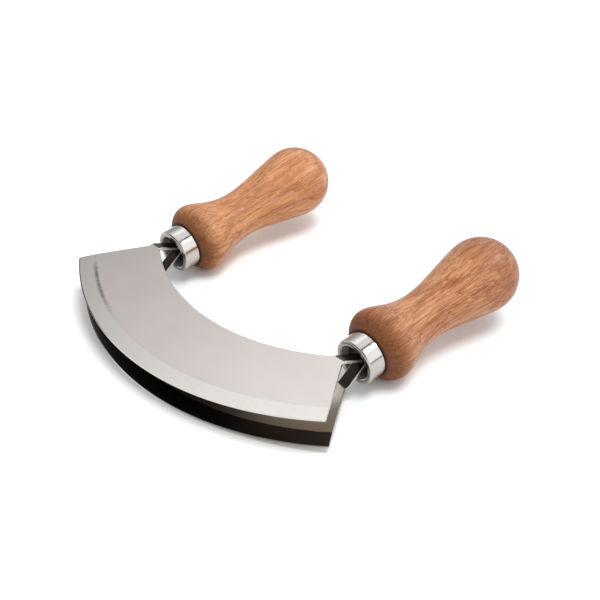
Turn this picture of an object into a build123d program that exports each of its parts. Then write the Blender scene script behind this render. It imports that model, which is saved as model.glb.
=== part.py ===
from build123d import *
import math
import os

# Rocking knife with two crescent blades and two turned wooden handles.
# Lengths are in millimetres. The knife is drawn in its own working frame first:
# X runs along the blades, Y from the cutting edges up to the handles, and Z square
# to the blades, with the origin midway between the ferrule mouths. At the end it is
# laid on its side, as it rests on a table, with the origin under the middle of its box.

# Blades, whose corners reach past the handles' axes by the overhang
blade_overhang = 24.4
blade_depth = 41.1
blade_thickness = 1.5
blade_spacing = 14.7
edge_radius = 149.9
spine_radius = 112.9
edge_reach = 68.65
corner_rounding = 0.8

# Ground faces of the cutting edge
grind_width = 8.4
grind_edge_thickness = 0.42
hone_width = 0.55
hone_edge_thickness = 0.08

# Tangs, folded towards each other so that a pair enters one ferrule
tang_width = 6.4
tang_offset = 0.7
tang_root_gap = 9.9
tang_fold_gap = 7.5
tang_fold_radius = 2.0
tang_meet_depth = 4.5
tang_pair_gap = 0.3
tang_grip = 34.0

# Ferrules
handle_spacing = 131.2
ferrule_length = 8.7
ferrule_radius = 11.1
ferrule_wall = 2.7
ferrule_nose_rounding = 1.4
ferrule_mouth_chamfer = 0.4
ferrule_back_chamfer = 0.3
ferrule_recess = 5.2

# Handles
handle_length = 92.6
handle_face_radius = 11.35
shoulder_radius = 17.6
shoulder_place = 8.6
neck_radius = 11.95
neck_place = 34.3
bulb_radius = 18.2
bore_floor = 3.0

# Fits
spigot_clearance = 0.05
bore_clearance = 0.4

# One overrun for every cut
overrun = 5.0

# Shape of the turned handle between its widest and slimmest places, as shares of
# each stretch: the first of a pair runs along the handle, the second is how much of
# the change in radius is done there.
shoulder_rise_shares = [(0.15, 0.31), (0.38, 0.66), (0.7, 0.93)]
shoulder_fall_shares = [(0.18, 0.17), (0.42, 0.57), (0.65, 0.85)]
bulb_rise_shares = [(0.3, 0.19), (0.55, 0.51), (0.81, 0.84)]
shoulder_start_share = (1, 0.6)

# Places that follow from the sizes
half_spacing = blade_spacing / 2
handle_place = handle_spacing / 2
half_chord = handle_place + blade_overhang
edge_centre = edge_radius - edge_reach
spine_centre = spine_radius + blade_depth - edge_reach
corner_height = edge_centre - math.sqrt(edge_radius**2 - half_chord**2)
tang_place = handle_place + tang_offset
tang_outside = tang_place + tang_width / 2
tang_level = (blade_thickness + tang_pair_gap) / 2
tang_tip = ferrule_length + tang_grip
ferrule_bore = ferrule_radius - ferrule_wall
bore_radius = math.hypot(tang_width / 2 + tang_offset, tang_level + blade_thickness / 2) + bore_clearance
bore_end = tang_tip + bore_floor


def blade_outline():
    """Flat crescent between the edge circle and the spine circle, cut off slanting at both ends."""
    low = -edge_reach - overrun
    top = -tang_fold_gap - tang_fold_radius / 2
    right = [(half_chord, low), (half_chord, corner_height), (tang_outside, -tang_root_gap), (tang_outside, top)]
    left = [(-x, y) for x, y in reversed(right)]
    ends = make_face(Polyline(*right, *left, close=True))
    crescent = ends & (Pos(0, edge_centre) * Circle(edge_radius))
    crescent -= Pos(0, spine_centre) * Circle(spine_radius)
    by_width = crescent.vertices().sort_by(Axis.X)
    return fillet([by_width[0], by_width[-1]], corner_rounding)


def ground_disc():
    """Disc as large as the edge circle, thinned by two ground faces and two narrow honed ones."""
    steps = [
        (0, blade_thickness / 2),
        (edge_radius - grind_width, blade_thickness / 2),
        (edge_radius - hone_width, grind_edge_thickness / 2),
        (edge_radius, hone_edge_thickness / 2),
    ]
    below = [(r, -z) for r, z in reversed(steps)]
    section = make_face(Polyline(*steps, *below, close=True))
    upright = Plane(origin=(0, 0, 0), x_dir=(1, 0, 0), z_dir=(0, -1, 0))
    return Pos(0, edge_centre, half_spacing) * revolve(upright * section, axis=Axis.Z)


def tang():
    """Strip that leaves the blade, folds towards the middle plane, and runs straight up the bore."""
    route = FilletPolyline(
        (tang_place, -tang_root_gap - tang_width / 2, half_spacing),
        (tang_place, -tang_fold_gap, half_spacing),
        (tang_place, tang_meet_depth, tang_level),
        (tang_place, tang_tip, tang_level),
        radius=tang_fold_radius + blade_thickness / 2,
    )
    section = Plane(origin=route @ 0, x_dir=(1, 0, 0), z_dir=route % 0) * Rectangle(tang_width, blade_thickness)
    return sweep(section, path=route)


def upper_blade():
    """Crescent sheet above the middle plane, ground along its convex edge, with both tangs."""
    sheet = extrude(Pos(0, 0, half_spacing) * blade_outline(), amount=blade_thickness / 2, both=True)
    right_tang = tang()
    return (sheet & ground_disc()) + right_tang + mirror(right_tang, about=Plane.YZ)


def ferrule():
    """Turned collar with a rounded nose, open at the mouth, on the axis of its handle."""
    section = Pos(ferrule_bore) * Rectangle(ferrule_wall, ferrule_length, align=(Align.MIN, Align.MIN))
    collar = revolve(section, axis=Axis.Y)
    mouth, back, inner, outer = 0, -1, 0, -1
    easings = [
        (fillet, mouth, outer, ferrule_nose_rounding),
        (chamfer, mouth, inner, ferrule_mouth_chamfer),
        (chamfer, back, outer, ferrule_back_chamfer),
    ]
    for ease, end, ring, size in easings:
        rings = collar.edges().filter_by(GeomType.CIRCLE).group_by(Axis.Y)[end].sort_by(SortBy.RADIUS)
        collar = ease(rings[ring], size)
    return collar


def between(start, end, shares):
    """Points that divide the step from one (radius, height) to another by pairs of shares."""
    return [(start[0] + turn * (end[0] - start[0]), start[1] + run * (end[1] - start[1])) for run, turn in shares]


def handle():
    """Turned handle: spigot, bell shoulder, slim neck and ball end, bored for the tangs."""
    face = (handle_face_radius, ferrule_length)
    shoulder = (shoulder_radius, ferrule_length + shoulder_place)
    neck = (neck_radius, ferrule_length + neck_place)
    bulb = (bulb_radius, ferrule_length + handle_length - bulb_radius)
    pole = (0, ferrule_length + handle_length)
    spigot = ferrule_bore - spigot_clearance
    straight = (0, 1)
    flare = between(face, shoulder, shoulder_rise_shares)
    rise = Spline(face, *flare, shoulder, tangents=[shoulder_start_share, straight])
    fall = Spline(shoulder, *between(shoulder, neck, shoulder_fall_shares), neck, tangents=[straight, straight])
    swell = Spline(neck, *between(neck, bulb, bulb_rise_shares), bulb, tangents=[straight, straight])
    ball_end = TangentArc(bulb, pole, tangent=straight)
    inside = Polyline(
        pole,
        (0, bore_end),
        (bore_radius, bore_end),
        (bore_radius, ferrule_recess),
        (spigot, ferrule_recess),
        (spigot, ferrule_length),
        face,
    )
    return revolve(make_face([rise, fall, swell, ball_end, inside]), axis=Axis.Y)


def tang_bedding(blades):
    """Cast resin that fills the bore around the pair of tangs, level with the spigot's face."""
    middle = Pos(0, ferrule_recess) * Rectangle(bore_radius, bore_end - ferrule_recess, align=(Align.MIN, Align.MIN))
    plug = Pos(handle_place) * revolve(middle, axis=Axis.Y)
    for blade in blades:
        plug -= blade
    return plug


def resting_tilt(one_blade, one_handle):
    """Turn about X that brings a handle's shoulder and the lower cutting edge down to one level."""
    lever = ferrule_length + shoulder_place + edge_reach
    tilt = 0
    for _ in range(6):
        lows = [Rot(tilt) * shape for shape in (one_blade, one_handle)]
        edge_low, handle_low = [shape.bounding_box().min.Z for shape in lows]
        tilt += math.degrees(math.atan((edge_low - handle_low) / lever))
    return tilt


def build_pieces():
    """Every piece in the working frame, by name."""
    top = upper_blade()
    bottom = mirror(top, about=Plane.XY)
    right = {
        "ferrule": Pos(handle_place) * ferrule(),
        "handle": Pos(handle_place) * handle(),
        "tang_bedding": tang_bedding([top, bottom]),
    }
    pieces = {"upper_blade": top, "lower_blade": bottom}
    for name, piece in right.items():
        pieces["right_" + name] = piece
        pieces["left_" + name] = mirror(piece, about=Plane.YZ)
    return pieces


pieces = build_pieces()
tilt = resting_tilt(pieces["lower_blade"], pieces["right_handle"])
laid = {name: Rot(tilt) * piece for name, piece in pieces.items()}
box = Compound(list(laid.values())).bounding_box()
floor_middle = Vector(box.center().X, box.center().Y, box.min.Z)
print(f"tilt {tilt:.4f} degrees, moved by {-floor_middle}, size {box.size}")

os.makedirs("parts", exist_ok=True)
for name, piece in laid.items():
    export_step(Pos(-floor_middle) * piece, f"parts/{name}.step")
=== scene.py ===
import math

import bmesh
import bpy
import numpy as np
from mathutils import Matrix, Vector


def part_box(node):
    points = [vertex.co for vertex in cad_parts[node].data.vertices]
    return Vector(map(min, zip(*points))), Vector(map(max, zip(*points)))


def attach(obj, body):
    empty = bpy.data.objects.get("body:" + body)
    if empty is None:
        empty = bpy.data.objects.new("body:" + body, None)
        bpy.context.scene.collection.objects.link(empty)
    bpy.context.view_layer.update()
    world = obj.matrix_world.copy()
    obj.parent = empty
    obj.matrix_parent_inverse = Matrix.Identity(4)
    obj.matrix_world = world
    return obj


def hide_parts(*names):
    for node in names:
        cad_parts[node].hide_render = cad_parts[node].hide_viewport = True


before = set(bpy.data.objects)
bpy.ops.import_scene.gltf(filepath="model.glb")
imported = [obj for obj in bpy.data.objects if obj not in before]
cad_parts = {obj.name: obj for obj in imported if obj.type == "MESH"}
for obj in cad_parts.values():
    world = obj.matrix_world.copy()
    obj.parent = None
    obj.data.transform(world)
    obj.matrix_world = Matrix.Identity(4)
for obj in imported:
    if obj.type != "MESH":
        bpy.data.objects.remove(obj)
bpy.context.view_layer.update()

# %% [markdown]
# A rocking knife for herbs: two crescent blades side by side, whose tangs fold together and
# go into a polished collar and a turned wooden handle at each end. The engineering model
# gives the pieces and their places. Their surfaces could be modelled by hand, but worked out
# from the same sizes they fit that model. So this script works out a fine surface and a
# finish for each, and sets the studio round them.
# Everything is in metres. The knife is described in its own upright frame first: X runs
# along the blades, Y from the cutting edges to the handle ends, Z square to the blades, with
# the origin midway between the mouths of the two collars.

# %% [markdown]
# The real knife rests on one cutting edge and on the shoulders of its handles, so its own
# frame is turned about X. The lean could be measured on the shown pieces, but the box of a
# piece with one rounded end gives a wrong angle. So lean and place are written down as the
# engineering model has them. The cast plug checks them: it is a plain cylinder, so the
# middle of its box lies on the handle's axis.

# %% Where the knife's own frame lies on the table
ferrule_length = 0.0087
handle_length = 0.0926
handle_spacing = 0.1312
spigot_start = 0.0052
bore_end = 0.0457
lean = math.radians(6.7596)
mouth_middle = np.array((0, -0.01583986, 0.015523095))


def lay(points):
    """Turn points about X by the lean and move them, from the knife's frame to the table's."""
    x, y, z = np.moveaxis(np.asarray(points, float), -1, 0)
    turned_y = y * math.cos(lean) - z * math.sin(lean)
    turned_z = y * math.sin(lean) + z * math.cos(lean)
    return np.stack([x, turned_y, turned_z], -1) + mouth_middle


plug_box = np.array(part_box("right_tang_bedding"))
plug_drift = plug_box.mean(0) - lay((handle_spacing / 2, (spigot_start + bore_end) / 2, 0))
print("lean", round(math.degrees(lean), 4), "degrees, plug off by", np.round(plug_drift * 1000, 3), "mm")

# %% [markdown]
# The photographer stood at the right front corner and looked down at about 33 degrees, with
# a long lens that keeps the two handles nearly parallel. A constraint could aim the camera,
# but it has no roll. Three angles give its directions here: azimuth turns it round the
# vertical, elevation lifts it, and a small roll tips it.

# %% Camera
camera_azimuth = math.radians(48.8772)
camera_elevation = math.radians(33.0245)
camera_roll = math.radians(-1.45958)
camera_distance = 0.601063
camera_aim = np.array((0.01669, -0.003374, 0.020))
camera_lens = 77.3908

level_right = np.array((math.cos(camera_azimuth), math.sin(camera_azimuth), 0))
backward = np.array((
    math.sin(camera_azimuth) * math.cos(camera_elevation),
    -math.cos(camera_azimuth) * math.cos(camera_elevation),
    math.sin(camera_elevation),
))
level_up = np.cross(backward, level_right)
right = math.cos(camera_roll) * level_right + math.sin(camera_roll) * level_up
up = np.cross(backward, right)


def stand(name, data, across, upward, towards, place):
    """Put a camera or lamp at a place, its own X, Y and Z along three directions."""
    thing = bpy.data.objects.new(name, data)
    bpy.context.scene.collection.objects.link(thing)
    turn = np.eye(4)
    turn[:3] = np.stack([across, upward, towards, place], -1)
    thing.matrix_world = Matrix(turn.tolist())
    return thing


camera_place = camera_aim + camera_distance * backward
camera = stand("camera", bpy.data.cameras.new("camera"), right, up, backward, camera_place)
camera.data.lens = camera_lens
camera.data.sensor_width = 36
camera.data.clip_start = 0.01
bpy.context.scene.camera = camera
bpy.context.scene.view_settings.view_transform = "Standard"
print("camera at", np.round(camera_place * 1000, 1), "mm")

# %% [markdown]
# The knife was photographed in an even white surrounding. Light Path splits the sky in two:
# what the camera, a mirror or glass sees is plain white, and what lights dull surfaces is
# dimmer, so that sky and sun together bring a surface to about the colour that is written
# for it. Light and finishes are networks of shader nodes. They could be clicked together by
# hand, but a few short functions build them and say what they do.

# %% Sky
sky_light = 0.60


def add_node(tree, kind, **settings):
    """One shader node of a kind, with its settings."""
    node = tree.nodes.new(kind)
    for name, value in settings.items():
        setattr(node, name, value)
    return node


def feed(node, *values, **named):
    """Give sockets, in order or by name, a number, a colour or the output of another node."""
    pairs = list(zip(node.inputs, values))
    pairs += [(node.inputs[name.replace("_", " ")], value) for name, value in named.items()]
    for socket, value in pairs:
        if isinstance(value, (int, float)):
            socket.default_value = value
        elif isinstance(value, tuple):
            socket.default_value = (*value, 1)
        else:
            node.id_data.links.new(value, socket)


def after(kind, *values, **settings):
    """New node fed with the values, in the node tree that the first output among them is from."""
    tree = next(value.id_data for value in values if isinstance(value, bpy.types.NodeSocket))
    node = add_node(tree, kind, **settings)
    feed(node, *values)
    return node


def calc(operation, *values):
    """One arithmetic node whose inputs are outputs of other nodes or plain numbers."""
    return after("ShaderNodeMath", *values, operation=operation).outputs[0]


def ramp(value, low, high, start=0.0, end=1.0, kind="SMOOTHSTEP"):
    """Value between low and high as a number that goes from start to end."""
    node = after("ShaderNodeMapRange", value, low, high, start, end, interpolation_type=kind)
    return node.outputs["Result"]


def white_backdrop(tree):
    """Number that is 1 for rays from the camera, a mirror or glass, and 0 for the rest."""
    path = add_node(tree, "ShaderNodeLightPath").outputs
    seen = calc("MAXIMUM", path["Is Camera Ray"], path["Is Glossy Ray"])
    return calc("MAXIMUM", seen, path["Is Transmission Ray"])


world = bpy.data.worlds.new("sky")
bpy.context.scene.world = world
world.use_nodes = True
sky = world.node_tree
strength = ramp(white_backdrop(sky), 0, 1, sky_light, 1, "LINEAR")
feed(sky.nodes["Background"], Color=(1, 1, 1), Strength=strength)
print("sky of strength", sky_light, "from", len(sky.nodes), "nodes")

# %% [markdown]
# The knife's shadow is soft and close. An area lamp could cast it, but it would light one end
# more than the other. A broad sun, nearly overhead and a little to the right, lights both
# alike, and its spread softens the shadow.

# %% Sun
sun_light = 1.22
sun_spread = math.radians(26)
sun_from = np.array((0.30, 0.10, 1.0))

to_sun = sun_from / np.linalg.norm(sun_from)
sun_side = np.cross((0, 1, 0), to_sun)
sun_side /= np.linalg.norm(sun_side)
sun = stand("sun", bpy.data.lights.new("sun", "SUN"), sun_side, np.cross(to_sun, sun_side), to_sun, to_sun)
sun.data.energy = sun_light
sun.data.angle = sun_spread
sun.visible_glossy = False
print("sun", round(math.degrees(math.asin(to_sun[2]))), "degrees above the table")

# %% [markdown]
# The real knife lay on a white ground. A plain white plate could be that, but the shadow on
# it would be wider and darker than in print, where the ground is lifted to white. So the
# floor is pure white in reflections, and for the camera its colour is lifted further, until
# only the close, dark part of the shadow stays. Near the handles the lift has less red and
# more blue, because the wood throws a reddish light there.

# %% Floor
floor_radius = 6.0
floor_points = 96
floor_colour = 0.92
blade_lift = (0.335, 0.355, 0.345)
handle_lift = (0.245, 0.365, 0.42)
lift_start = -0.03
lift_end = 0.01


def mesh_object(name, points, faces, finishes=None):
    """Object from an array of points, arrays of faces, and a finish number for every face."""
    mesh = bpy.data.meshes.new(name)
    mesh.from_pydata(np.asarray(points).tolist(), [], [f for array in faces for f in array.tolist()])
    if finishes is not None:
        mesh.polygons.foreach_set("material_index", finishes)
    mesh.update()
    thing = bpy.data.objects.new(name, mesh)
    bpy.context.scene.collection.objects.link(thing)
    return thing


def finish(name, **sockets):
    """New material, its node tree, and its Principled shader with the constant values set."""
    material = bpy.data.materials.new(name)
    material.use_nodes = True
    shader = material.node_tree.nodes["Principled BSDF"]
    feed(shader, **sockets)
    return material, material.node_tree, shader


def object_place(tree):
    """Object coordinates: the place on the piece itself."""
    return add_node(tree, "ShaderNodeTexCoord").outputs["Object"]


def parts_of(vector):
    """The three coordinates of a vector."""
    return after("ShaderNodeSeparateXYZ", vector).outputs


def fade(factor, first, second, kind="MIX"):
    """Colour from the first to the second as the factor goes from 0 to 1, or with ADD their sum."""
    node = add_node(factor.id_data, "ShaderNodeMix", data_type="RGBA", blend_type=kind)
    feed(node, Factor=factor, A=first, B=second)
    return node.outputs["Result"]


angle = np.linspace(0, 2 * math.pi, floor_points, endpoint=False)
ring = floor_radius * np.stack([np.cos(angle), np.sin(angle), 0 * angle], -1)
floor = mesh_object("floor", ring, [np.arange(floor_points)[None, :]])
paint, tree, coat = finish("floor_paint", Roughness=1, Specular_IOR_Level=0)
shown = ramp(white_backdrop(tree), 0, 1, floor_colour, 1, "LINEAR")
near_handles = ramp(parts_of(object_place(tree))["Y"], lift_start, lift_end, kind="LINEAR")
lift = fade(near_handles, blade_lift, handle_lift)
camera_ray = add_node(tree, "ShaderNodeLightPath").outputs["Is Camera Ray"]
feed(coat, Base_Color=fade(camera_ray, shown, lift, "ADD"))
floor.data.materials.append(paint)
print("floor:", len(floor.data.vertices), "points")

# %% [markdown]
# Polished steel shows its surroundings. Lamps could make its highlights, but they would light
# the wood too, so the studio has cards that only reflections see. A tall screen on the left,
# dim at its foot and bright at its head, shades the blade from left to right. A bright panel
# stands behind on the right. A thin black bar overhead and a low dark rail behind give the
# collars their two dark lines. The curtain behind the photographer is dark at its head, for
# the collars' lips, and light at its foot, which keeps the steel grey from behind. A small
# lamp box behind on the right makes the wood shine.

# %% Cards for the reflections


def card(name, middle_place, across, upward, strength, heights=None):
    """Flat glowing plate, from its middle and two half sides, that only reflections see.

    With two heights above the floor, strength is a pair too: what the card has at and below
    the first height, and at and above the second, with an even change between. The card's
    name is handed back.
    """
    middle_place, across, upward = (np.asarray(v, float) for v in (middle_place, across, upward))
    corners = [middle_place + a * across + b * upward for a, b in ((-1, -1), (1, -1), (1, 1), (-1, 1))]
    plate = mesh_object(name, corners, [np.arange(4)[None, :]])
    light, tree, shader = finish(name + "_light", Base_Color=(0, 0, 0), Specular_IOR_Level=0)
    if heights:
        strength = ramp(parts_of(object_place(tree))["Z"], *heights, *strength, kind="LINEAR")
    feed(shader, Emission_Color=(1, 1, 1), Emission_Strength=strength)
    plate.data.materials.append(light)
    plate.visible_camera = plate.visible_diffuse = plate.visible_shadow = False
    return name


cards = [
    card("screen", (-0.5, 0.75, 0.7), (0, 0.85, 0), (0, 0, 0.7), (0.45, 1.38), heights=(0.29, 0.79)),
    card("curtain", (-0.9, -1.3, 0.85), (2.7, 0, 0), (0, 0, 0.85), (0.6, 0.03), heights=(0.35, 0.8)),
    card("panel", (1.65, 0.95, 1.10), (-0.7, 1.2, 0), (-0.41, -0.24, 0.82), 1.25),
    card("bar", (0.25, 0.30, 0.77), (0, 0.5, 0.15), (0.06, 0, -0.02), 0.02),
    card("rail", (2.2, 1.27, 0.22), (-0.75, 1.3, 0), (0, 0, 0.18), 0.15),
    card("box", (0.48, 0.72, 0.86), (0.13, 0, -0.07), (-0.08, 0.3, -0.19), 4.5),
]
print("cards:", cards)

# %% [markdown]
# Both handles and both collars are turned on a lathe, so each is a profile carried round its
# axis. A Screw modifier could do that, but points worked out as one array can be laid in the
# leaning frame at once. One direction of the grid runs along the profile, the other round
# the axis. Where a profile starts and ends on the axis, the equal points are merged into one
# pole, and where it comes back to its start the surface is a closed ring.

# %% Turning a profile round its axis
around_steps = 192
turned_crease = math.radians(35)
weld_distance = 1e-7


def quad_grid(rows, columns, wrap_rows=False, wrap_columns=False):
    """Corner numbers of the quads of a grid whose points are stored row by row."""
    row = np.arange(rows if wrap_rows else rows - 1)[:, None]
    column = np.arange(columns if wrap_columns else columns - 1)[None, :]
    next_row, next_column = (row + 1) % rows, (column + 1) % columns
    quads = [row * columns + column, row * columns + next_column]
    quads += [next_row * columns + next_column, next_row * columns + column]
    return np.stack(np.broadcast_arrays(*quads), -1).reshape(-1, 4)


def weld(thing):
    """Merge equal points, drop faces without area, and turn all faces outwards."""
    work = bmesh.new()
    work.from_mesh(thing.data)
    bmesh.ops.remove_doubles(work, verts=work.verts, dist=weld_distance)
    bmesh.ops.dissolve_degenerate(work, edges=work.edges, dist=weld_distance / 10)
    bmesh.ops.recalc_face_normals(work, faces=work.faces)
    work.to_mesh(thing.data)
    work.free()
    thing.data.update()


def shade_smooth(thing, crease):
    """Smooth shading, with edges that bend by more than the crease angle left sharp."""
    thing.data.polygons.foreach_set("use_smooth", np.ones(len(thing.data.polygons), bool))
    thing.data.set_sharp_from_angle(angle=crease)


def turned(name, profile, middle_x, closed):
    """Surface of revolution: across, the radius times the angle's sine; up, times its cosine."""
    along, radius = profile.T[..., None]
    angle = np.linspace(0, 2 * math.pi, around_steps, endpoint=False)
    parts = [middle_x + radius * np.sin(angle), along + 0 * angle, radius * np.cos(angle)]
    points = lay(np.stack(parts, -1)).reshape(-1, 3)
    thing = mesh_object(name, points, [quad_grid(len(profile), around_steps, closed, True)])
    weld(thing)
    shade_smooth(thing, turned_crease)
    return thing


print("quads in one ring:", len(quad_grid(2, around_steps, wrap_columns=True)))

# %% [markdown]
# The collar is a short steel ring that keeps the wood from splitting. Its mouth has a full
# round lip outside and a small chamfer inside, and a fine chamfer at the back gives a dark
# line against the wood, which the wood's painted shade deepens. A Bevel modifier could ease
# a plain ring, but all edges alike, so the profile has each easing drawn in.

# %% Collars
ferrule_radius = 0.0111
ferrule_wall = 0.0027
ferrule_nose = 0.0014
ferrule_mouth_chamfer = 0.0004
ferrule_back_chamfer = 0.0003
ferrule_bore = ferrule_radius - ferrule_wall
side_points = 8
handle_x = {"left": -handle_spacing / 2, "right": handle_spacing / 2}


def quarter_round(start, end, steps, square_first):
    """Quarter of an ellipse from one (along, radius) point to another.

    One coordinate follows the sine of the angle, the other one minus the cosine. The radius
    follows the sine where the curve leaves the start square to the axis.
    """
    turn = np.linspace(0, math.pi / 2, steps + 1)
    shares = np.stack([np.sin(turn), 1 - np.cos(turn)], -1)
    if square_first:
        shares = shares[:, ::-1]
    return np.asarray(start) + shares * (np.asarray(end) - np.asarray(start))


def ferrule_profile():
    """Ring section: lip, side, back chamfer, back face, bore, mouth chamfer, mouth face."""
    side_end = (ferrule_length - ferrule_back_chamfer, ferrule_radius)
    lip = quarter_round((0, ferrule_radius - ferrule_nose), (ferrule_nose, ferrule_radius), 16, True)
    side = np.linspace(lip[-1], side_end, side_points)[1:]
    back = [(ferrule_length, ferrule_radius - ferrule_back_chamfer), (ferrule_length, ferrule_bore)]
    inside = np.linspace(back[-1], (ferrule_mouth_chamfer, ferrule_bore), side_points)[1:]
    mouth = [(0, ferrule_bore + ferrule_mouth_chamfer)]
    return np.concatenate([lip, side, back, inside, mouth])


ferrules = {}
for hand, middle_x in handle_x.items():
    ferrules[hand] = turned(hand + "_collar", ferrule_profile(), middle_x, closed=True)
    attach(ferrules[hand], "root")
    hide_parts(hand + "_ferrule")
print("collar points:", len(ferrules["left"].data.vertices))

# %% [markdown]
# The handle's outline is one flowing line: it flares from the collar to a bell shoulder,
# falls to a slim neck, swells to the bulb and closes in a ball. Bezier curves could draw it,
# but they are set by eye, while a spline through a few chosen points bends evenly by itself.
# Where two stretches meet both are level with the axis, so there is no kink.

# %% Handles
handle_face = 0.01135
shoulder = (0.0086, 0.0176)
neck = (0.0343, 0.01195)
bulb_radius = 0.0182
bulb = (handle_length - bulb_radius, bulb_radius)
spigot_clearance = 0.00005
spigot_radius = ferrule_bore - spigot_clearance
bore_radius = 0.004635
flare_way = (0.6, 1)
flare_shares = [(0.15, 0.31), (0.38, 0.66), (0.7, 0.93)]
fall_shares = [(0.18, 0.17), (0.42, 0.57), (0.65, 0.85)]
swell_shares = [(0.3, 0.19), (0.55, 0.51), (0.81, 0.84)]


def spline(points, first_way, last_way, steps=14):
    """Smooth curve through points, with the given directions at its two ends.

    Its parameter is the straight distance from point to point. The direction at each inner
    point comes from the rule that the curvature doesn't jump there, which is one row of a
    small linear system, and each stretch is then the cubic with its two points and ways.
    """
    points = np.asarray(points, float)
    gap = np.linalg.norm(np.diff(points, axis=0), axis=1)
    slope = np.diff(points, axis=0) / gap[:, None]
    size = len(points)
    system, wanted = np.eye(size), np.zeros((size, 2))
    inner = np.arange(1, size - 1)
    system[inner, inner - 1] = gap[1:]
    system[inner, inner] = 2 * (gap[1:] + gap[:-1])
    system[inner, inner + 1] = gap[:-1]
    wanted[inner] = 3 * (gap[1:, None] * slope[:-1] + gap[:-1, None] * slope[1:])
    wanted[0] = np.asarray(first_way) / np.linalg.norm(first_way)
    wanted[-1] = np.asarray(last_way) / np.linalg.norm(last_way)
    ways = np.linalg.solve(system, wanted)
    t = np.linspace(0, 1, steps, endpoint=False)[None, :, None]
    start, end = points[:-1, None], points[1:, None]
    leave, arrive = gap[:, None, None] * ways[:-1, None], gap[:, None, None] * ways[1:, None]
    curve = (2 * t**3 - 3 * t**2 + 1) * start + (3 * t**2 - 2 * t**3) * end
    curve = curve + (t**3 - 2 * t**2 + t) * leave + (t**3 - t**2) * arrive
    return curve.reshape(-1, 2)


def between(start, end, shares):
    """The start, the points that divide the way to the end by pairs of shares, and the end."""
    inner = [(start[0] + a * (end[0] - start[0]), start[1] + b * (end[1] - start[1])) for a, b in shares]
    return [start, *inner, end]


def handle_profile():
    """Outer line from the spigot to the pole of the ball, after the blind bore's own line."""
    level = (1, 0)
    flare = spline(between((0, handle_face), shoulder, flare_shares), flare_way, level)
    fall = spline(between(shoulder, neck, fall_shares), level, level)
    swell = spline(between(neck, bulb, swell_shares), level, level)
    ball = quarter_round(bulb, (handle_length, 0), 40, False)
    outer = np.concatenate([flare, fall, swell, ball]) + (ferrule_length, 0)
    front = [(bore_end, 0), (bore_end, bore_radius), (spigot_start, bore_radius)]
    front += [(spigot_start, spigot_radius), (ferrule_length, spigot_radius)]
    return np.concatenate([front, outer])


handles = {}
for hand, middle_x in handle_x.items():
    handles[hand] = turned(hand + "_wood", handle_profile(), middle_x, closed=False)
    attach(handles[hand], "root")
    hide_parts(hand + "_handle")
print("handle points:", len(handles["left"].data.vertices))

# %% [markdown]
# Each blade is one sheet: a crescent that is ground thin towards its convex edge, with a
# strip at each end that folds towards the other blade and runs up into the handle. Booleans
# could cut it from a plate, but they leave long thin faces that shade badly. Here the
# crescent is a grid whose columns run from the cutting edge to the inner edge. The grinding
# wheel follows the edge circle, so the thickness depends on the radius about its centre.

# %% Sizes of a blade
blade_thickness = 0.0015
blade_level = 0.00735
blade_overhang = 0.0244
blade_depth = 0.0411
edge_radius = 0.1499
edge_reach = 0.06865
spine_radius = 0.1129
corner_rounding = 0.0008
grind_width = 0.0084
hone_width = 0.00055
grind_thickness = 0.00042
hone_thickness = 0.00008
tang_offset = 0.0007
tang_width = 0.0064
tang_root = -0.0099
sheet_top = -0.0085

blade_corner_x = handle_spacing / 2 + blade_overhang
edge_centre = edge_radius - edge_reach
spine_centre = spine_radius + blade_depth - edge_reach
grind_radius = edge_radius - grind_width
hone_radius = edge_radius - hone_width
tang_inside = handle_spacing / 2 + tang_offset - tang_width / 2
tang_outside = handle_spacing / 2 + tang_offset + tang_width / 2


def thickness_at(radius):
    """Full sheet inside the grinding border, then straight down to the honed edge."""
    borders = [0, grind_radius, hone_radius, edge_radius]
    return np.interp(radius, borders, [blade_thickness, blade_thickness, grind_thickness, hone_thickness])


half_ground = thickness_at((grind_radius + hone_radius) / 2)
print("thickness halfway down the ground band:", round(half_ground * 1000, 2), "mm")

# %% [markdown]
# The rims of real sheet are softly rounded, and the light draws them as thin bright lines. A
# Bevel modifier could round them, but not where a strip grows out of the sheet. So close
# rows lie near each rim, at equal steps round a quarter circle, and one more row beyond
# keeps the flat face flat.

# %% Rounding of the rims
rim_rounding = 0.0003
rim_steps = 6
rim_guard_share = 1.3
rim_thickness_share = 0.4
rim_limit = 1.01 * rim_rounding
rim_places = rim_rounding * np.append(1 - np.cos(np.linspace(0, math.pi / 2, rim_steps)), rim_guard_share)


def rim_drop(distance, thickness=blade_thickness):
    """How far the face lies below its full height, as a quarter circle near the rim.

    Where the sheet is thin the circle is smaller, and keeps to its share of the thickness.
    """
    size = np.minimum(rim_rounding, rim_thickness_share * np.asarray(thickness))
    short = 1 - np.clip(distance / size, 0, 1)
    return size * (1 - np.sqrt(1 - short**2))


print("rim places", np.round(rim_places * 1000, 3), "mm")

# %% [markdown]
# The real outline is stamped, of arcs and straight cuts. It could be traced, but worked out
# it is exact and follows its sizes. The inner side runs across the root of each strip and
# then along the circle of the inner edge. The outer side goes round a small corner and then
# along the edge circle. A column joins the two at matching places, and the first columns are
# parallel to the slanting end. The right half is worked out and mirrored.

# %% Inner and outer side of the crescent
root_gaps = 10
corner_gaps = 3
spine_columns = 110
centre = np.array((0, edge_centre))
corner_compass = math.asin(blade_corner_x / edge_radius)
corner = np.array((blade_corner_x, edge_centre - edge_radius * math.cos(corner_compass)))
root_start, root_end = np.array((tang_outside, tang_root)), np.array((tang_inside, sheet_top))
end_way = (root_start - corner) / np.linalg.norm(root_start - corner)
inward = np.array((-end_way[1], end_way[0]))


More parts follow.
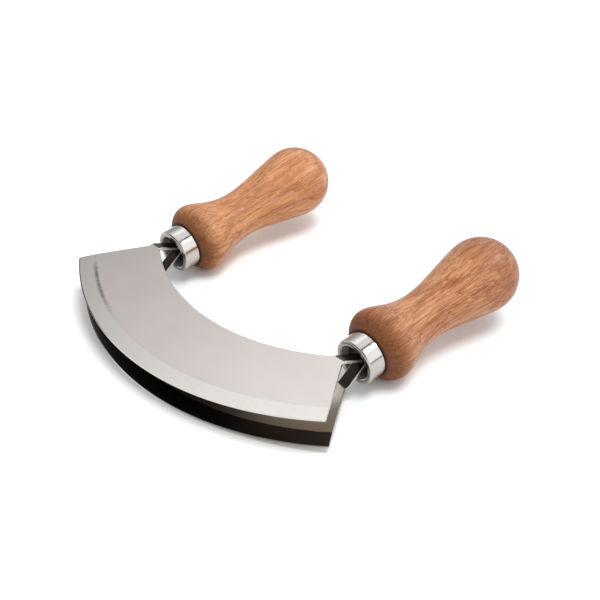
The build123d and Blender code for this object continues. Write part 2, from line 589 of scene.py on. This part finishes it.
def inner_side():
    """Right half of the inner side, from the outer end of the strip's root to the middle."""
    first = rim_places / ((root_end - root_start) @ inward)
    last = 1 - rim_places[::-1] / (tang_outside - tang_inside)
    share = np.concatenate([first, np.linspace(first[-1], last[0], root_gaps + 1)[1:-1], last])
    root = root_start + share[:, None] * (root_end - root_start)
    meet = math.acos((spine_centre - sheet_top) / spine_radius)
    turn = np.linspace(meet, 0, spine_columns)[1:]
    arc = np.stack([spine_radius * np.sin(turn), spine_centre - spine_radius * np.cos(turn)], -1)
    return np.concatenate([root, arc]), len(root)


def outer_side(inner):
    """The matching points of the outer side.

    The small circle touches the end line and the edge circle, so its middle is the root of a
    quadratic. The first points go round it: as far from the end as the rim places, then in
    equal steps to where it meets the edge. The rest follow the edge, in step with the inner
    points' compass angles.
    """
    start = corner + corner_rounding * inward - centre
    slide = start @ end_way
    slide = -slide - math.sqrt(slide**2 - start @ start + (edge_radius - corner_rounding) ** 2)
    small = centre + start + slide * end_way
    touch = math.atan2(small[0], edge_centre - small[1])
    last_turn = math.acos(-inward @ (small - centre) / np.linalg.norm(small - centre))
    turn = np.arccos(1 - rim_places / corner_rounding)
    turn = np.concatenate([turn, np.linspace(turn[-1], last_turn, corner_gaps + 1)[1:]])[:, None]
    rounded = small - corner_rounding * (np.cos(turn) * inward + np.sin(turn) * end_way)
    compass = np.arctan2(inner[:, 0], edge_centre - inner[:, 1])[len(turn) - 1 :]
    compass = (touch * compass / compass[0])[1:]
    plain = np.stack([edge_radius * np.sin(compass), edge_centre - edge_radius * np.cos(compass)], -1)
    return np.concatenate([rounded, plain])


def mirrored(half):
    """The right half and its mirror image, from the right end to the left end."""
    return np.concatenate([half, half[-2::-1] * (-1, 1)])


half_inner, root_columns = inner_side()
inner_line = mirrored(half_inner)
outer_line = mirrored(outer_side(half_inner))
print("columns:", len(inner_line), "corner at", np.round(outer_line[0] * 1000, 2))

# %% [markdown]
# The strip leaves the sheet, bends towards the middle plane, and bends back to run beside its
# partner into the collar. A bevelled curve could draw it, but wouldn't join the sheet point
# for point. So its middle line is a path with two round bends, and its section stays square
# to the path.

# %% Path of the folded strip
fold_radius = 0.00275
fold_start = -0.0075
fold_meet = 0.0045
tang_level = 0.0009
tang_end = 0.0427
fold_y = [sheet_top, fold_start, fold_meet, tang_end]
fold_z = [blade_level, blade_level, tang_level, tang_level]


def fold_path(corners, radius, steps=36):
    """Places and directions, in Y and Z, along straight runs joined by arcs that touch them."""
    ways = np.diff(corners, axis=0)
    ways = ways / np.linalg.norm(ways, axis=1)[:, None]
    heading = np.arctan2(ways[:, 1], ways[:, 0])
    places, headings = [corners[:1]], [heading[:1]]
    for corner, before, after in zip(corners[1:-1], heading[:-1], heading[1:]):
        reach = radius * math.tan(abs(after - before) / 2)
        turn = np.linspace(before, after, steps)
        sign = math.copysign(1, after - before)
        start = corner - reach * np.array((math.cos(before), math.sin(before)))
        arc = np.stack([np.sin(turn) - math.sin(before), math.cos(before) - np.cos(turn)], -1)
        places.append(start + sign * radius * arc)
        headings.append(turn)
    places.append(corners[-1:])
    headings.append(heading[-1:])
    return np.concatenate(places), np.concatenate(headings)


path, path_heading = fold_path(np.stack([fold_y, fold_z], -1), fold_radius)
print("strip length", round(float(np.linalg.norm(np.diff(path, axis=0), axis=1).sum() * 1000), 1), "mm")

# %% [markdown]
# The ground band of the real blade has a crisp border all along. Even rows would be the
# simplest, but they would cut across it. So the first rows keep to set radii, one of them the
# border's. The rounding needs the distance from the rim, so that is measured everywhere.

# %% Grid of the sheet
ground_rows = 9
flat_rows = 16


def crescent_grid():
    """Points of the sheet in its plane, column by column, and their radius from the edge centre.

    On the straight line from outer to inner point, the place at a wanted radius is the root
    of a quadratic. Rows are at set radii down to the grinding border, then evenly spaced, and
    the last ones are as far from the inner side as the rim places.
    """
    start, way = outer_line - centre, inner_line - outer_line
    a, b = (way**2).sum(-1), (start * way).sum(-1)
    outer_radius = np.hypot(*start.T)
    rings = np.concatenate([[edge_radius], np.linspace(hone_radius, grind_radius, ground_rows)])
    ring = np.minimum(rings[None, :], outer_radius[:, None])
    c = outer_radius[:, None] ** 2 - ring**2
    root = (-b[:, None] - np.sqrt(np.maximum(b[:, None] ** 2 - a[:, None] * c, 0))) / a[:, None]
    root = np.clip(root, 0, 1)
    last = 1 - rim_places[::-1] / np.sqrt(a)[:, None]
    even = root[:, -1:] + (last[:, :1] - root[:, -1:]) * np.linspace(0, 1, flat_rows)[1:-1]
    share = np.concatenate([root, even, last], -1)
    plane = outer_line[:, None] + share[..., None] * way[:, None]
    return plane, np.hypot(plane[..., 0], edge_centre - plane[..., 1])


def rim_distance(plane):
    """Distance from the rim: the slanting end, or the inner circle up to where the strip starts."""
    folded = np.stack([abs(plane[..., 0]), plane[..., 1]], -1)
    from_end = (folded - corner) @ inward
    from_circle = np.hypot(folded[..., 0], folded[..., 1] - spine_centre) - spine_radius
    from_root = np.hypot(*np.moveaxis(folded - root_end, -1, 0))
    return np.minimum(from_end, np.where(folded[..., 0] < root_end[0], from_circle, from_root))


sheet_plane, sheet_radius = crescent_grid()
print("sheet grid:", sheet_radius.shape, "points")

# %% [markdown]
# The upper and lower faces are two copies of the same grid, half the local thickness above
# and below the middle. A Solidify modifier could do that, but not with this change of
# thickness. Narrow walls close the outline, and where a strip grows out of the sheet the wall
# is left open and the strip starts from the same points. Every face is given its finish:
# satin outside, painted shade on the inner faces between the blades and on the folded strips,
# and bright metal on the rims.

# %% Sheet and strips
# Of these finish numbers, the second, fourth and fifth are painted shade: dark colours on the inner faces
# and on the folded strips.
satin, inner_painted_shade, cut, bend, shade = range(5)


def wall(line, across):
    """Cut quads between the points of a line and those that stand so many numbers on."""
    quads = np.stack([line[:-1], line[1:], line[1:] + across, line[:-1] + across], -1)
    return quads, np.full(len(quads), cut)


def two_faces(number, rounded, outside, inside):
    """Quads of a grid of point numbers and of its twin after it, cut metal where all is rim."""
    quads = quad_grid(*number.shape) + number[0, 0]
    at_rim = (rounded[:-1, :-1] & rounded[1:, :-1] & rounded[:-1, 1:] & rounded[1:, 1:]).ravel()
    return [(quads, np.where(at_rim, cut, outside)), (quads + number.size, np.where(at_rim, cut, inside))]


def sheet_part():
    """Both faces of the crescent, its rim marks, and its quads, open where the strips begin."""
    thickness = thickness_at(sheet_radius)
    distance = rim_distance(sheet_plane)
    half = thickness / 2 - rim_drop(distance, thickness)
    grids = [np.concatenate([sheet_plane, (blade_level + way * half)[..., None]], -1) for way in (1, -1)]
    rounded = distance < rim_limit
    number = np.arange(rounded.size).reshape(rounded.shape)
    spine = number[root_columns - 1 : len(number) - root_columns + 1, -1]
    faces = two_faces(number, rounded, satin, inner_painted_shade)
    faces += [wall(line, number.size) for line in (number[:, 0], number[0], number[-1], spine)]
    return grids, rounded, faces


def strip_part(sheet_grids, sheet_rounded, root, first_number):
    """Both faces of one folded strip, its rim marks, and its quads.

    A point stands off the path along its normal by half the thickness, less the rounding of
    the rim. The first row is the sheet's own, so that strip and sheet join there.
    """
    x = sheet_plane[root, -1, 0]
    inset = np.minimum(abs(x) - tang_inside, tang_outside - abs(x))
    rounded = np.tile(inset < rim_limit, (len(path), 1))
    rounded[0] = sheet_rounded[root, -1]
    normal = np.stack([-np.sin(path_heading), np.cos(path_heading)], -1)
    grids = []
    for sheet_grid, way in zip(sheet_grids, (1, -1)):
        height = way * (blade_thickness / 2 - rim_drop(inset))
        grid = np.empty((*rounded.shape, 3))
        grid[..., 0] = x
        grid[..., 1:] = path[:, None] + height[None, :, None] * normal[:, None]
        grid[0] = sheet_grid[root, -1]
        grids.append(grid)
    number = first_number + np.arange(rounded.size).reshape(rounded.shape)
    outside = np.full((len(path) - 1, root_columns - 1), bend)
    outside[0] = satin
    faces = two_faces(number, rounded, outside.ravel(), shade)
    faces += [wall(line, number.size) for line in (number[:, 0], number[:, -1], number[-1])]
    return grids, rounded, faces


print("quads of the sheet:", sum(len(quads) for quads, _ in sheet_part()[2]))

# %% [markdown]
# The lower blade is the upper one turned over, so one function makes both. The border of the
# grinding bends by only a few degrees but is crisp, while the rims bend more and are smooth.
# A crease angle alone can't do both, so the rims are marked on the points, and the marks take
# the sharp edges away there again.

# %% The two blades
blade_crease = math.radians(1.5)


def blade(name, side):
    """Closed sheet with two folded strips, above (side 1) or below (side -1) the middle plane."""
    sheet_grids, sheet_rounded, sheet_faces = sheet_part()
    parts, total = [(sheet_grids, sheet_rounded, sheet_faces)], 2 * sheet_rounded.size
    for root in (slice(None, root_columns), slice(-root_columns, None)):
        parts.append(strip_part(sheet_grids, sheet_rounded, root, total))
        total += 2 * parts[-1][1].size
    points = np.concatenate([grid.reshape(-1, 3) for grids, _, _ in parts for grid in grids])
    marks = np.concatenate([np.tile(rounded.ravel(), 2) for _, rounded, _ in parts])
    quads, finishes = zip(*[face for _, _, faces in parts for face in faces])
    return mesh_object(name, lay(points * (1, 1, side)), quads, np.concatenate(finishes)), marks


def read(items, field, array):
    """Fill an array with one field of all items, and hand it back."""
    items.foreach_get(field, array)
    return array


def crisp_but_rims(thing, marks):
    """Weld and shade the blade, with sharp edges where it bends, but none inside the rims."""
    mesh = thing.data
    mesh.attributes.new("rim", "BOOLEAN", "POINT").data.foreach_set("value", marks)
    weld(thing)
    shade_smooth(thing, blade_crease)
    ends = read(mesh.edges, "vertices", np.zeros(2 * len(mesh.edges), int)).reshape(-1, 2)
    marks = read(mesh.attributes["rim"].data, "value", np.zeros(len(mesh.vertices), bool))
    sharp = read(mesh.attributes["sharp_edge"].data, "value", np.zeros(len(mesh.edges), bool))
    sharp &= ~marks[ends].all(-1)
    mesh.attributes["sharp_edge"].data.foreach_set("value", sharp)
    return sharp


blades = {}
for name, side in (("upper", 1), ("lower", -1)):
    blades[name], marks = blade(name + "_crescent", side)
    sharp = crisp_but_rims(blades[name], marks)
    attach(blades[name], "root")
    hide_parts(name + "_blade")
    print(name, "blade points:", len(blades[name].data.vertices), "crisp edges:", int(sharp.sum()))

# %% [markdown]
# A real finish has its direction: polishing lines run along the blade, fibres along the
# handle. A picture could be wrapped round each piece, but it would have seams. These helpers
# make patterns in space instead, from the place in the knife's own frame, which comes from
# Object coordinates, so that a pattern stays where it is on the piece.

# %% Helpers for finishes


def own_place(tree, origin=(0, 0, 0)):
    """Place in the knife's frame, counted from one of its points: the vector and its parts."""
    turn = after("ShaderNodeMapping", object_place(tree), vector_type="TEXTURE")
    turn.inputs["Location"].default_value = lay(origin)
    turn.inputs["Rotation"].default_value = (lean, 0, 0)
    return turn.outputs["Vector"], *parts_of(turn.outputs["Vector"])


def vector_of(x, y, z):
    """A vector from its three coordinates."""
    return after("ShaderNodeCombineXYZ", x, y, z).outputs[0]


def noise(vector, scales, detail=2.0, roughness=0.5, distortion=0.0):
    """Noise from 0 to 1, most of it near a half, with its changes per metre along each axis."""
    scaled = after("ShaderNodeVectorMath", vector, operation="MULTIPLY")
    scaled.inputs[1].default_value = scales
    node = after("ShaderNodeTexNoise", scaled.outputs[0])
    feed(node, Scale=1, Detail=detail, Roughness=roughness, Distortion=distortion)
    return node.outputs["Fac"]


def product(first, *others):
    """Product of outputs and plain numbers."""
    for other in others:
        first = calc("MULTIPLY", first, other)
    return first


def length_of(first, second):
    """Length of a flat vector with two parts: the root of the sum of their squares."""
    return calc("SQRT", calc("ADD", product(first, first), product(second, second)))


def sway(value, width):
    """Noise as a shift to both sides of nothing: its difference from a half, times a width."""
    return product(calc("SUBTRACT", value, 0.5), width)


def hump(value, low, rise_end, fall_start, high):
    """Number that is 1 from the end of its rise to the start of its fall, and 0 outside."""
    return product(ramp(value, low, rise_end), ramp(value, fall_start, high, 1.0, 0.0))


def times(share, colour):
    """Colour made darker or lighter by a share."""
    return tuple(share * part for part in colour)


def relief(shader, height, depth, strength=1.0):
    """Bump from a height of about 0 to 1, whose depth is in metres."""
    node = add_node(shader.id_data, "ShaderNodeBump")
    feed(node, Distance=depth, Strength=strength, Height=height)
    feed(shader, Normal=node.outputs["Normal"])


print("finishes count places from", np.round(lay((0, 0, 0)) * 1000, 2), "mm")

# %% [markdown]
# The outer faces are satin stainless steel. Fine polishing lines run along the chord, and in
# the ground band the wheel leaves lines that point at the edge centre. One noise could do for
# both, but the change of direction is what makes the band look ground, so there the pattern
# is stretched along the radius and varies with the compass angle, in radians from the middle
# of the edge to the right. At the border runs a fine dark line, with a broad dark smudge near
# the left end. Right at the edge runs the narrow line of the honing, dark at its left end. The
# inner faces are painted dark as painted shade between the blades, lighter at the right end.

# %% Steel of the sheet
steel_colour = (0.66, 0.61, 0.592)
band_colour = (0.70, 0.67, 0.63)
trace_colour = (0.17, 0.16, 0.155)
# The next two colours are painted shade on the inner faces between the blades.
inner_painted_shade_colour = (0.54, 0.485, 0.42)
ground_painted_shade_colour = (0.12, 0.108, 0.10)
hone_colour = (0.74, 0.72, 0.69)
wheel_scales = (1500, 50, 60)
broad_scales = (240, 30, 40)
polish_scales = (40, 1900, 40)
cloud_scales = (45, 45, 45)
border_sway = 0.0007
border_blur = 0.0002
hone_blur = 0.00005
smudge_width = (-0.0016, 0.0, 0.0002, 0.0012)
smudge_compass = (-0.62, -0.55, -0.44, -0.22)
fine_width = (0.0001, 0.0005)
fine_share = 0.22
# Where the painted shade on the inner faces lightens towards the right end.
painted_shade_compass = (0.12, 0.45)
hone_compass = (-0.35, -0.1)
polish_spread = 0.025
polish_depth = 0.0000005


def dark_border_line(reach, compass, wheel, band):
    """How much of the dark line along the border is at a place: its fine line, or the smudge."""
    inside = calc("SUBTRACT", grind_radius, reach)
    smudge = product(hump(inside, *smudge_width), hump(compass, *smudge_compass))
    smudge = product(smudge, ramp(wheel, 0.3, 0.62, 0.35, 1.0))
    fine = product(ramp(calc("ABSOLUTE", inside), *fine_width, fine_share, 0.0), band)
    return calc("MAXIMUM", smudge, fine)


def blade_steel(name, sheet_colour, ground_colour, roughness, trace_share, painted_shade_share):
    """Sheet with a ground band and a honed line, in polar places about the edge centre.

    The polar place is the distance along the edge, the radius and the height. trace_share is
    how much of the dark border line shows, and the last argument how much painted shade
    darkens all but the right end.
    """
    material, tree, shader = finish(name, Metallic=1.0, Roughness=roughness)
    place, x, y, z = own_place(tree, (0, edge_centre, 0))
    compass = calc("ARCTAN2", x, product(y, -1.0))
    reach = length_of(x, y)
    polar = vector_of(product(compass, edge_radius), reach, z)
    wheel = noise(polar, wheel_scales, detail=3)
    polish = noise(place, polish_scales, detail=3)
    cloud = noise(place, cloud_scales, detail=3)
    border = calc("ADD", reach, sway(noise(polar, broad_scales, detail=3), border_sway))
    band = ramp(border, grind_radius - border_blur, grind_radius + border_blur)
    sheet = fade(ramp(cloud, 0.3, 0.7), sheet_colour, times(1.05, sheet_colour))
    ground = fade(ramp(wheel, 0.25, 0.75), ground_colour, times(0.97, ground_colour))
    colour = fade(band, sheet, ground)
    # Painted shade: the inner faces grow darker away from the right end.
    if painted_shade_share:
        colour = fade(ramp(compass, *painted_shade_compass, painted_shade_share, 0.0), colour, (0, 0, 0))
    trace = product(dark_border_line(reach, compass, wheel, band), trace_share)
    colour = fade(trace, colour, trace_colour)
    honed = ramp(reach, hone_radius - hone_blur, hone_radius + hone_blur)
    hone = fade(ramp(compass, *hone_compass), trace_colour, hone_colour)
    lines = fade(band, polish, wheel)
    shine = ramp(lines, 0.2, 0.8, roughness - polish_spread, roughness + polish_spread)
    feed(shader, Base_Color=fade(honed, colour, hone), Roughness=shine)
    relief(shader, lines, polish_depth)
    return material


sheet_steels = [
    blade_steel("satin_blade_steel", steel_colour, band_colour, 0.3, 0.95, 0.0),
    # The second finish is painted shade on the inner faces.
    blade_steel("inner_blade_painted_shade", inner_painted_shade_colour, ground_painted_shade_colour, 0.34, 0.0, 0.6),
]
print("sheet finishes:", [steel.name for steel in sheet_steels])

# %% [markdown]
# The folded strips carry painted shade: a dark colour above the root, darkest on their inner
# faces, with short smears along the strip. The rims are bright where the sheet was cut, with
# short marks square to it. Both could share the sheet's finish, but then the strips would
# shine between the blades, where the real ones lie in shade and look nearly black.

# %% Steel of the strips and rims
# Painted shade: dark colours of the folded strips, outside and inside.
bend_painted_shade_colour = (0.15, 0.13, 0.12)
shade_colour = (0.035, 0.030, 0.028)
cut_colour = (0.66, 0.64, 0.61)
cut_mark_colour = (0.52, 0.50, 0.48)
root_fade = (-0.001, 0.0015)
fold_scales = (900, 160, 160)
fold_depth = 0.000002
cut_scales = (1400, 1400, 90)
cut_depth = 0.000006


def fold_steel(name, dark):
    """Painted shade on the folded strips: the given dark colour above the root, with smears."""
    material, tree, shader = finish(name, Metallic=1.0, Roughness=0.36)
    place, _, y, _ = own_place(tree)
    smears = noise(place, fold_scales, detail=3)
    colour = fade(ramp(y, *(tang_root + gap for gap in root_fade)), inner_painted_shade_colour, dark)
    colour = fade(ramp(smears, 0.35, 0.7, 0.0, 0.35), colour, shade_colour)
    feed(shader, Base_Color=colour, Roughness=ramp(smears, 0.3, 0.7, 0.3, 0.42))
    relief(shader, smears, fold_depth)
    return material


def cut_steel():
    """Bright metal of the cut rims, with short marks square to the sheet."""
    material, tree, shader = finish("cut_blade_edge", Metallic=1.0, Roughness=0.35)
    marks = noise(own_place(tree)[0], cut_scales)
    colour = fade(ramp(marks, 0.3, 0.7), cut_colour, cut_mark_colour)
    feed(shader, Base_Color=colour, Roughness=ramp(marks, 0.3, 0.7, 0.28, 0.42))
    relief(shader, marks, cut_depth)
    return material


# Both strip finishes are painted shade.
strip_steels = [fold_steel("bent_strip_painted_shade", bend_painted_shade_colour), fold_steel("shaded_strip_skin", shade_colour)]
steels = [*sheet_steels, cut_steel(), *strip_steels]
for sheet in blades.values():
    for steel in steels:
        sheet.data.materials.append(steel)
print("finishes:", [steel.name for steel in steels])

# %% [markdown]
# The collars are polished and show the studio round them. A plain mirror could do, but real
# metal isn't so even: turning leaves very fine rings round the axis, and handling a few soft
# smears. The face of the mouth is painted darker, as painted shade, and the bore is only
# turned and left dull by resin, with its colour painted lighter, as painted light.

# %% Collar steel
collar_colour = (0.67, 0.648, 0.618)
# Painted shade on the mouth face, and painted light in the bore.
mouth_painted_shade_colour = (0.45, 0.43, 0.41)
bore_painted_light_colour = (0.80, 0.78, 0.74)
mouth_fade = (0.00008, 0.0003)
bore_fade = (0.00005, 0.00025)
turning_scales = (4, 3500, 4)
turning_depth = 0.0000008
smear_scales = (260, 260, 260)
bore_dullness = 0.35


def collar_steel(hand):
    """Polished steel with rings in the relief and smears in colour and roughness; painted shade on the
    mouth face; dull bore, painted light.
    """
    material, tree, shader = finish(hand + "_polished_steel", Metallic=1.0, Roughness=0.1)
    place, x, y, z = own_place(tree, (handle_x[hand], 0, 0))
    limits = [ferrule_bore + gap for gap in bore_fade]
    inside = ramp(length_of(x, z), *limits, 1.0, 0.0)
    smears = noise(place, smear_scales, detail=3)
    colour = fade(ramp(smears, 0.35, 0.75), collar_colour, times(0.93, collar_colour))
    # Painted shade: the mouth face is darker.
    colour = fade(ramp(y, *mouth_fade, 1.0, 0.0), colour, mouth_painted_shade_colour)
    polished = ramp(smears, 0.3, 0.8, 0.14, 0.21)
    duller = calc("MULTIPLY_ADD", inside, bore_dullness, polished)
    # Painted light: the bore is lighter than the polished steel.
    feed(shader, Base_Color=fade(inside, colour, bore_painted_light_colour), Roughness=duller)
    relief(shader, noise(place, turning_scales), turning_depth)
    return material


for hand, collar in ferrules.items():
    collar.data.materials.append(collar_steel(hand))
print("finish:", [collar.data.materials[0].name for collar in ferrules.values()])

# %% [markdown]
# The wood is a warm reddish-brown hardwood. One stretched noise could stand for it, but real
# figure comes from how the board lay in the tree: its growth rings are shells about a far-off
# heart, so on the turned surface they show as long soft bands. Fibres are noise stretched
# along the handle and bent by a slow sway, in broad and in fine streaks, with thin dark
# threads. The pores are short dark dashes, stronger in some patches than in others.

# %% Figure of the wood
wood_light = (0.78, 0.36, 0.155)
wood_pale = (0.88, 0.49, 0.27)
wood_middle = (0.58, 0.205, 0.072)
wood_dark = (0.24, 0.058, 0.015)
ring_width = 0.0063
ring_slope = 0.06
slow_sway = 0.010
slow_scales = (55, 22, 55)
quick_scales = (240, 130, 240)
fibre_scales = (520, 20, 520)
streak_scales = (1250, 38, 1250)
thread_scales = (1500, 26, 1500)
pore_scales = (2000, 230, 2000)
speck_scales = (4400, 480, 4400)
patch_scales = (130, 26, 130)


def board_place(place, x, y, z, heart, wave):
    """How late in its ring the wood is, from 0 to 1, and the place bent with the fibres."""
    slow = calc("SUBTRACT", noise(place, slow_scales), 0.5)
    drift = calc("MULTIPLY_ADD", slow, slow_sway, sway(noise(place, quick_scales), wave))
    from_x = calc("ADD", calc("SUBTRACT", x, heart[0]), drift)
    from_z = calc("SUBTRACT", calc("SUBTRACT", z, heart[1]), product(y, ring_slope))
    ring = calc("FRACT", product(length_of(from_x, from_z), 1 / ring_width))
    return hump(ring, 0.2, 0.8, 0.85, 1.0), vector_of(from_x, y, calc("ADD", z, drift))


def figured(late, bent, patch, fibres, streaks, figure, tone):
    """Colour of the wood before its pores: broad fibres, rings, fine streaks and threads."""
    light, pale, middle = (times(tone, colour) for colour in (wood_light, wood_pale, wood_middle))
    colour = fade(ramp(fibres, 0.32, 0.68), middle, light)
    colour = fade(product(late, 0.3), colour, wood_dark)
    colour = fade(ramp(streaks, 0.52, 0.64, 0.0, 0.8 * figure), colour, pale)
    colour = fade(ramp(streaks, 0.34, 0.46, 0.5 * figure, 0.0), colour, wood_dark)
    thread = ramp(noise(bent, thread_scales, distortion=0.3), 0.57, 0.67, 0.0, 0.9 * figure)
    return fade(product(thread, ramp(patch, 0.38, 0.58, 0.25, 1.0)), colour, wood_dark)


def pores(bent, patch, pore_share):
    """How much of a pore is at a place: long dashes, or fainter and finer specks."""
    dashes = ramp(noise(bent, pore_scales), 0.57, 0.72)
    specks = ramp(noise(bent, speck_scales, detail=1), 0.55, 0.78, 0.0, 0.5)
    pore = product(calc("MAXIMUM", dashes, specks), pore_share)
    return product(pore, ramp(patch, 0.38, 0.62, 0.4, 1.0))


print("growth rings across a bulb:", round(2 * bulb_radius / ring_width, 1))

# %% [markdown]
# Each handle was turned from its own board. One board could serve both, but they would look
# like copies, so each has its own heart, waviness and tone. On the shoulder's front the
# turning cuts across the fibres and the wood drinks more oil: it is darker and duller there,
# without the thin coat of shine, and the darkness is partly painted shade. At the collar a
# nearly black seam is painted shade in the gap, and inside it the wood is darkened by
# resin and by painted shade.

# %% Handle wood
# The front colour is end grain and painted shade, the seam colour painted shade, and the colour inside the
# collar resin-darkened wood and painted shade.
front_grain_and_shade = (0.15, 0.040, 0.007)
seam_painted_shade = (0.030, 0.009, 0.004)
resin_stain_and_shade = (0.020, 0.014, 0.011)
bulb_fade = (0.055, 0.095)
front_gap = 0.0005
front_share = 0.84
front_dullness = 0.2
seam_width = 0.0009
stain_and_shade_blur = 0.0001
wood_depth = 0.00005
boards = {
    "left": dict(heart=(-0.024, -0.052), wave=0.0030, figure=0.5, pore_share=0.2,
                 bulb_share=0.0, front_reach=0.0105, tone=1.08),
    "right": dict(heart=(0.010, -0.046), wave=0.0012, figure=0.7, pore_share=0.8,
                  bulb_share=0.4, front_reach=0.0165, tone=0.95),
}


def handle_wood(hand, heart, wave, figure, pore_share, bulb_share, front_reach, tone):
    """Finish of one handle, in its own frame with Y along it.

    heart is the tree's middle beside the handle and wave how far the fibres wander. figure,
    pore_share and bulb_share are how strong the streaks, the pores and the bulb's dark end
    are, front_reach is where the dark front of end grain and painted shade ends, and tone a
    factor on the lighter colours.
    """
    material, tree, shader = finish(hand + "_hardwood", Specular_IOR_Level=0.3, Coat_Roughness=0.22)
    place, x, y, z = own_place(tree, (handle_x[hand], 0, 0))
    late, bent = board_place(place, x, y, z, heart, wave)
    fibres = noise(bent, fibre_scales, detail=3, roughness=0.6)
    streaks = noise(bent, streak_scales)
    patch = noise(bent, patch_scales)
    colour = figured(late, bent, patch, fibres, streaks, figure, tone)
    pore = pores(bent, patch, pore_share)
    colour = fade(pore, colour, times(0.6, wood_dark))
    colour = fade(ramp(y, *bulb_fade, 0.0, bulb_share), colour, wood_dark)
    # Darker front: end grain, and painted shade.
    front = ramp(y, ferrule_length + front_gap, ferrule_length + front_reach, front_share, 0.0)
    colour = fade(front, colour, front_grain_and_shade)
    # Painted shade in the gap at the collar.
    seam = ramp(y, ferrule_length, ferrule_length + seam_width, 1.0, 0.0)
    colour = fade(seam, colour, seam_painted_shade)
    # Inside the collar: wood darkened by resin, and painted shade.
    stain_and_shade = ramp(y, ferrule_length - stain_and_shade_blur, ferrule_length, 1.0, 0.0)
    duller = calc("MULTIPLY_ADD", front, front_dullness, ramp(fibres, 0.3, 0.7, 0.46, 0.36))
    feed(shader, Base_Color=fade(stain_and_shade, colour, resin_stain_and_shade), Roughness=duller)
    feed(shader, Coat_Weight=ramp(front, 0.1, 0.6, 0.35, 0.0))
    relief(shader, calc("SUBTRACT", streaks, pore), wood_depth, 0.6)
    return material


for hand, wood in handles.items():
    wood.data.materials.append(handle_wood(hand, **boards[hand]))
print("finish:", [wood.data.materials[0].name for wood in handles.values()])

# %% [markdown]
# The cast plug round the strips is barely seen, deep in the collar's mouth. It could have a
# new surface too, but that would be lost there, so it keeps the engineering one and only gets
# a finish: near-black resin with a slightly pitted skin.

# %% Cast resin
resin_dark = (0.018, 0.013, 0.010)
resin_light = (0.045, 0.034, 0.027)
resin_scales = (500, 500, 500)
pit_scales = (2200, 2200, 2200)
pit_depth = 0.00005


def resin():
    """Near-black resin: faint clouds in the colour, and pits in the roughness and relief."""
    material, tree, shader = finish("cast_resin", Roughness=0.55)
    place = own_place(tree)[0]
    pits = noise(place, pit_scales)
    colour = fade(noise(place, resin_scales, detail=3), resin_dark, resin_light)
    feed(shader, Base_Color=colour, Roughness=ramp(pits, 0.3, 0.7, 0.45, 0.7))
    relief(shader, pits, pit_depth)
    return material


plug_finish = resin()
for hand in handle_x:
    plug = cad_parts[hand + "_tang_bedding"]
    plug.data.materials.clear()
    plug.data.materials.append(plug_finish)
print("finish:", plug_finish.name, "on", len(handle_x), "plugs")
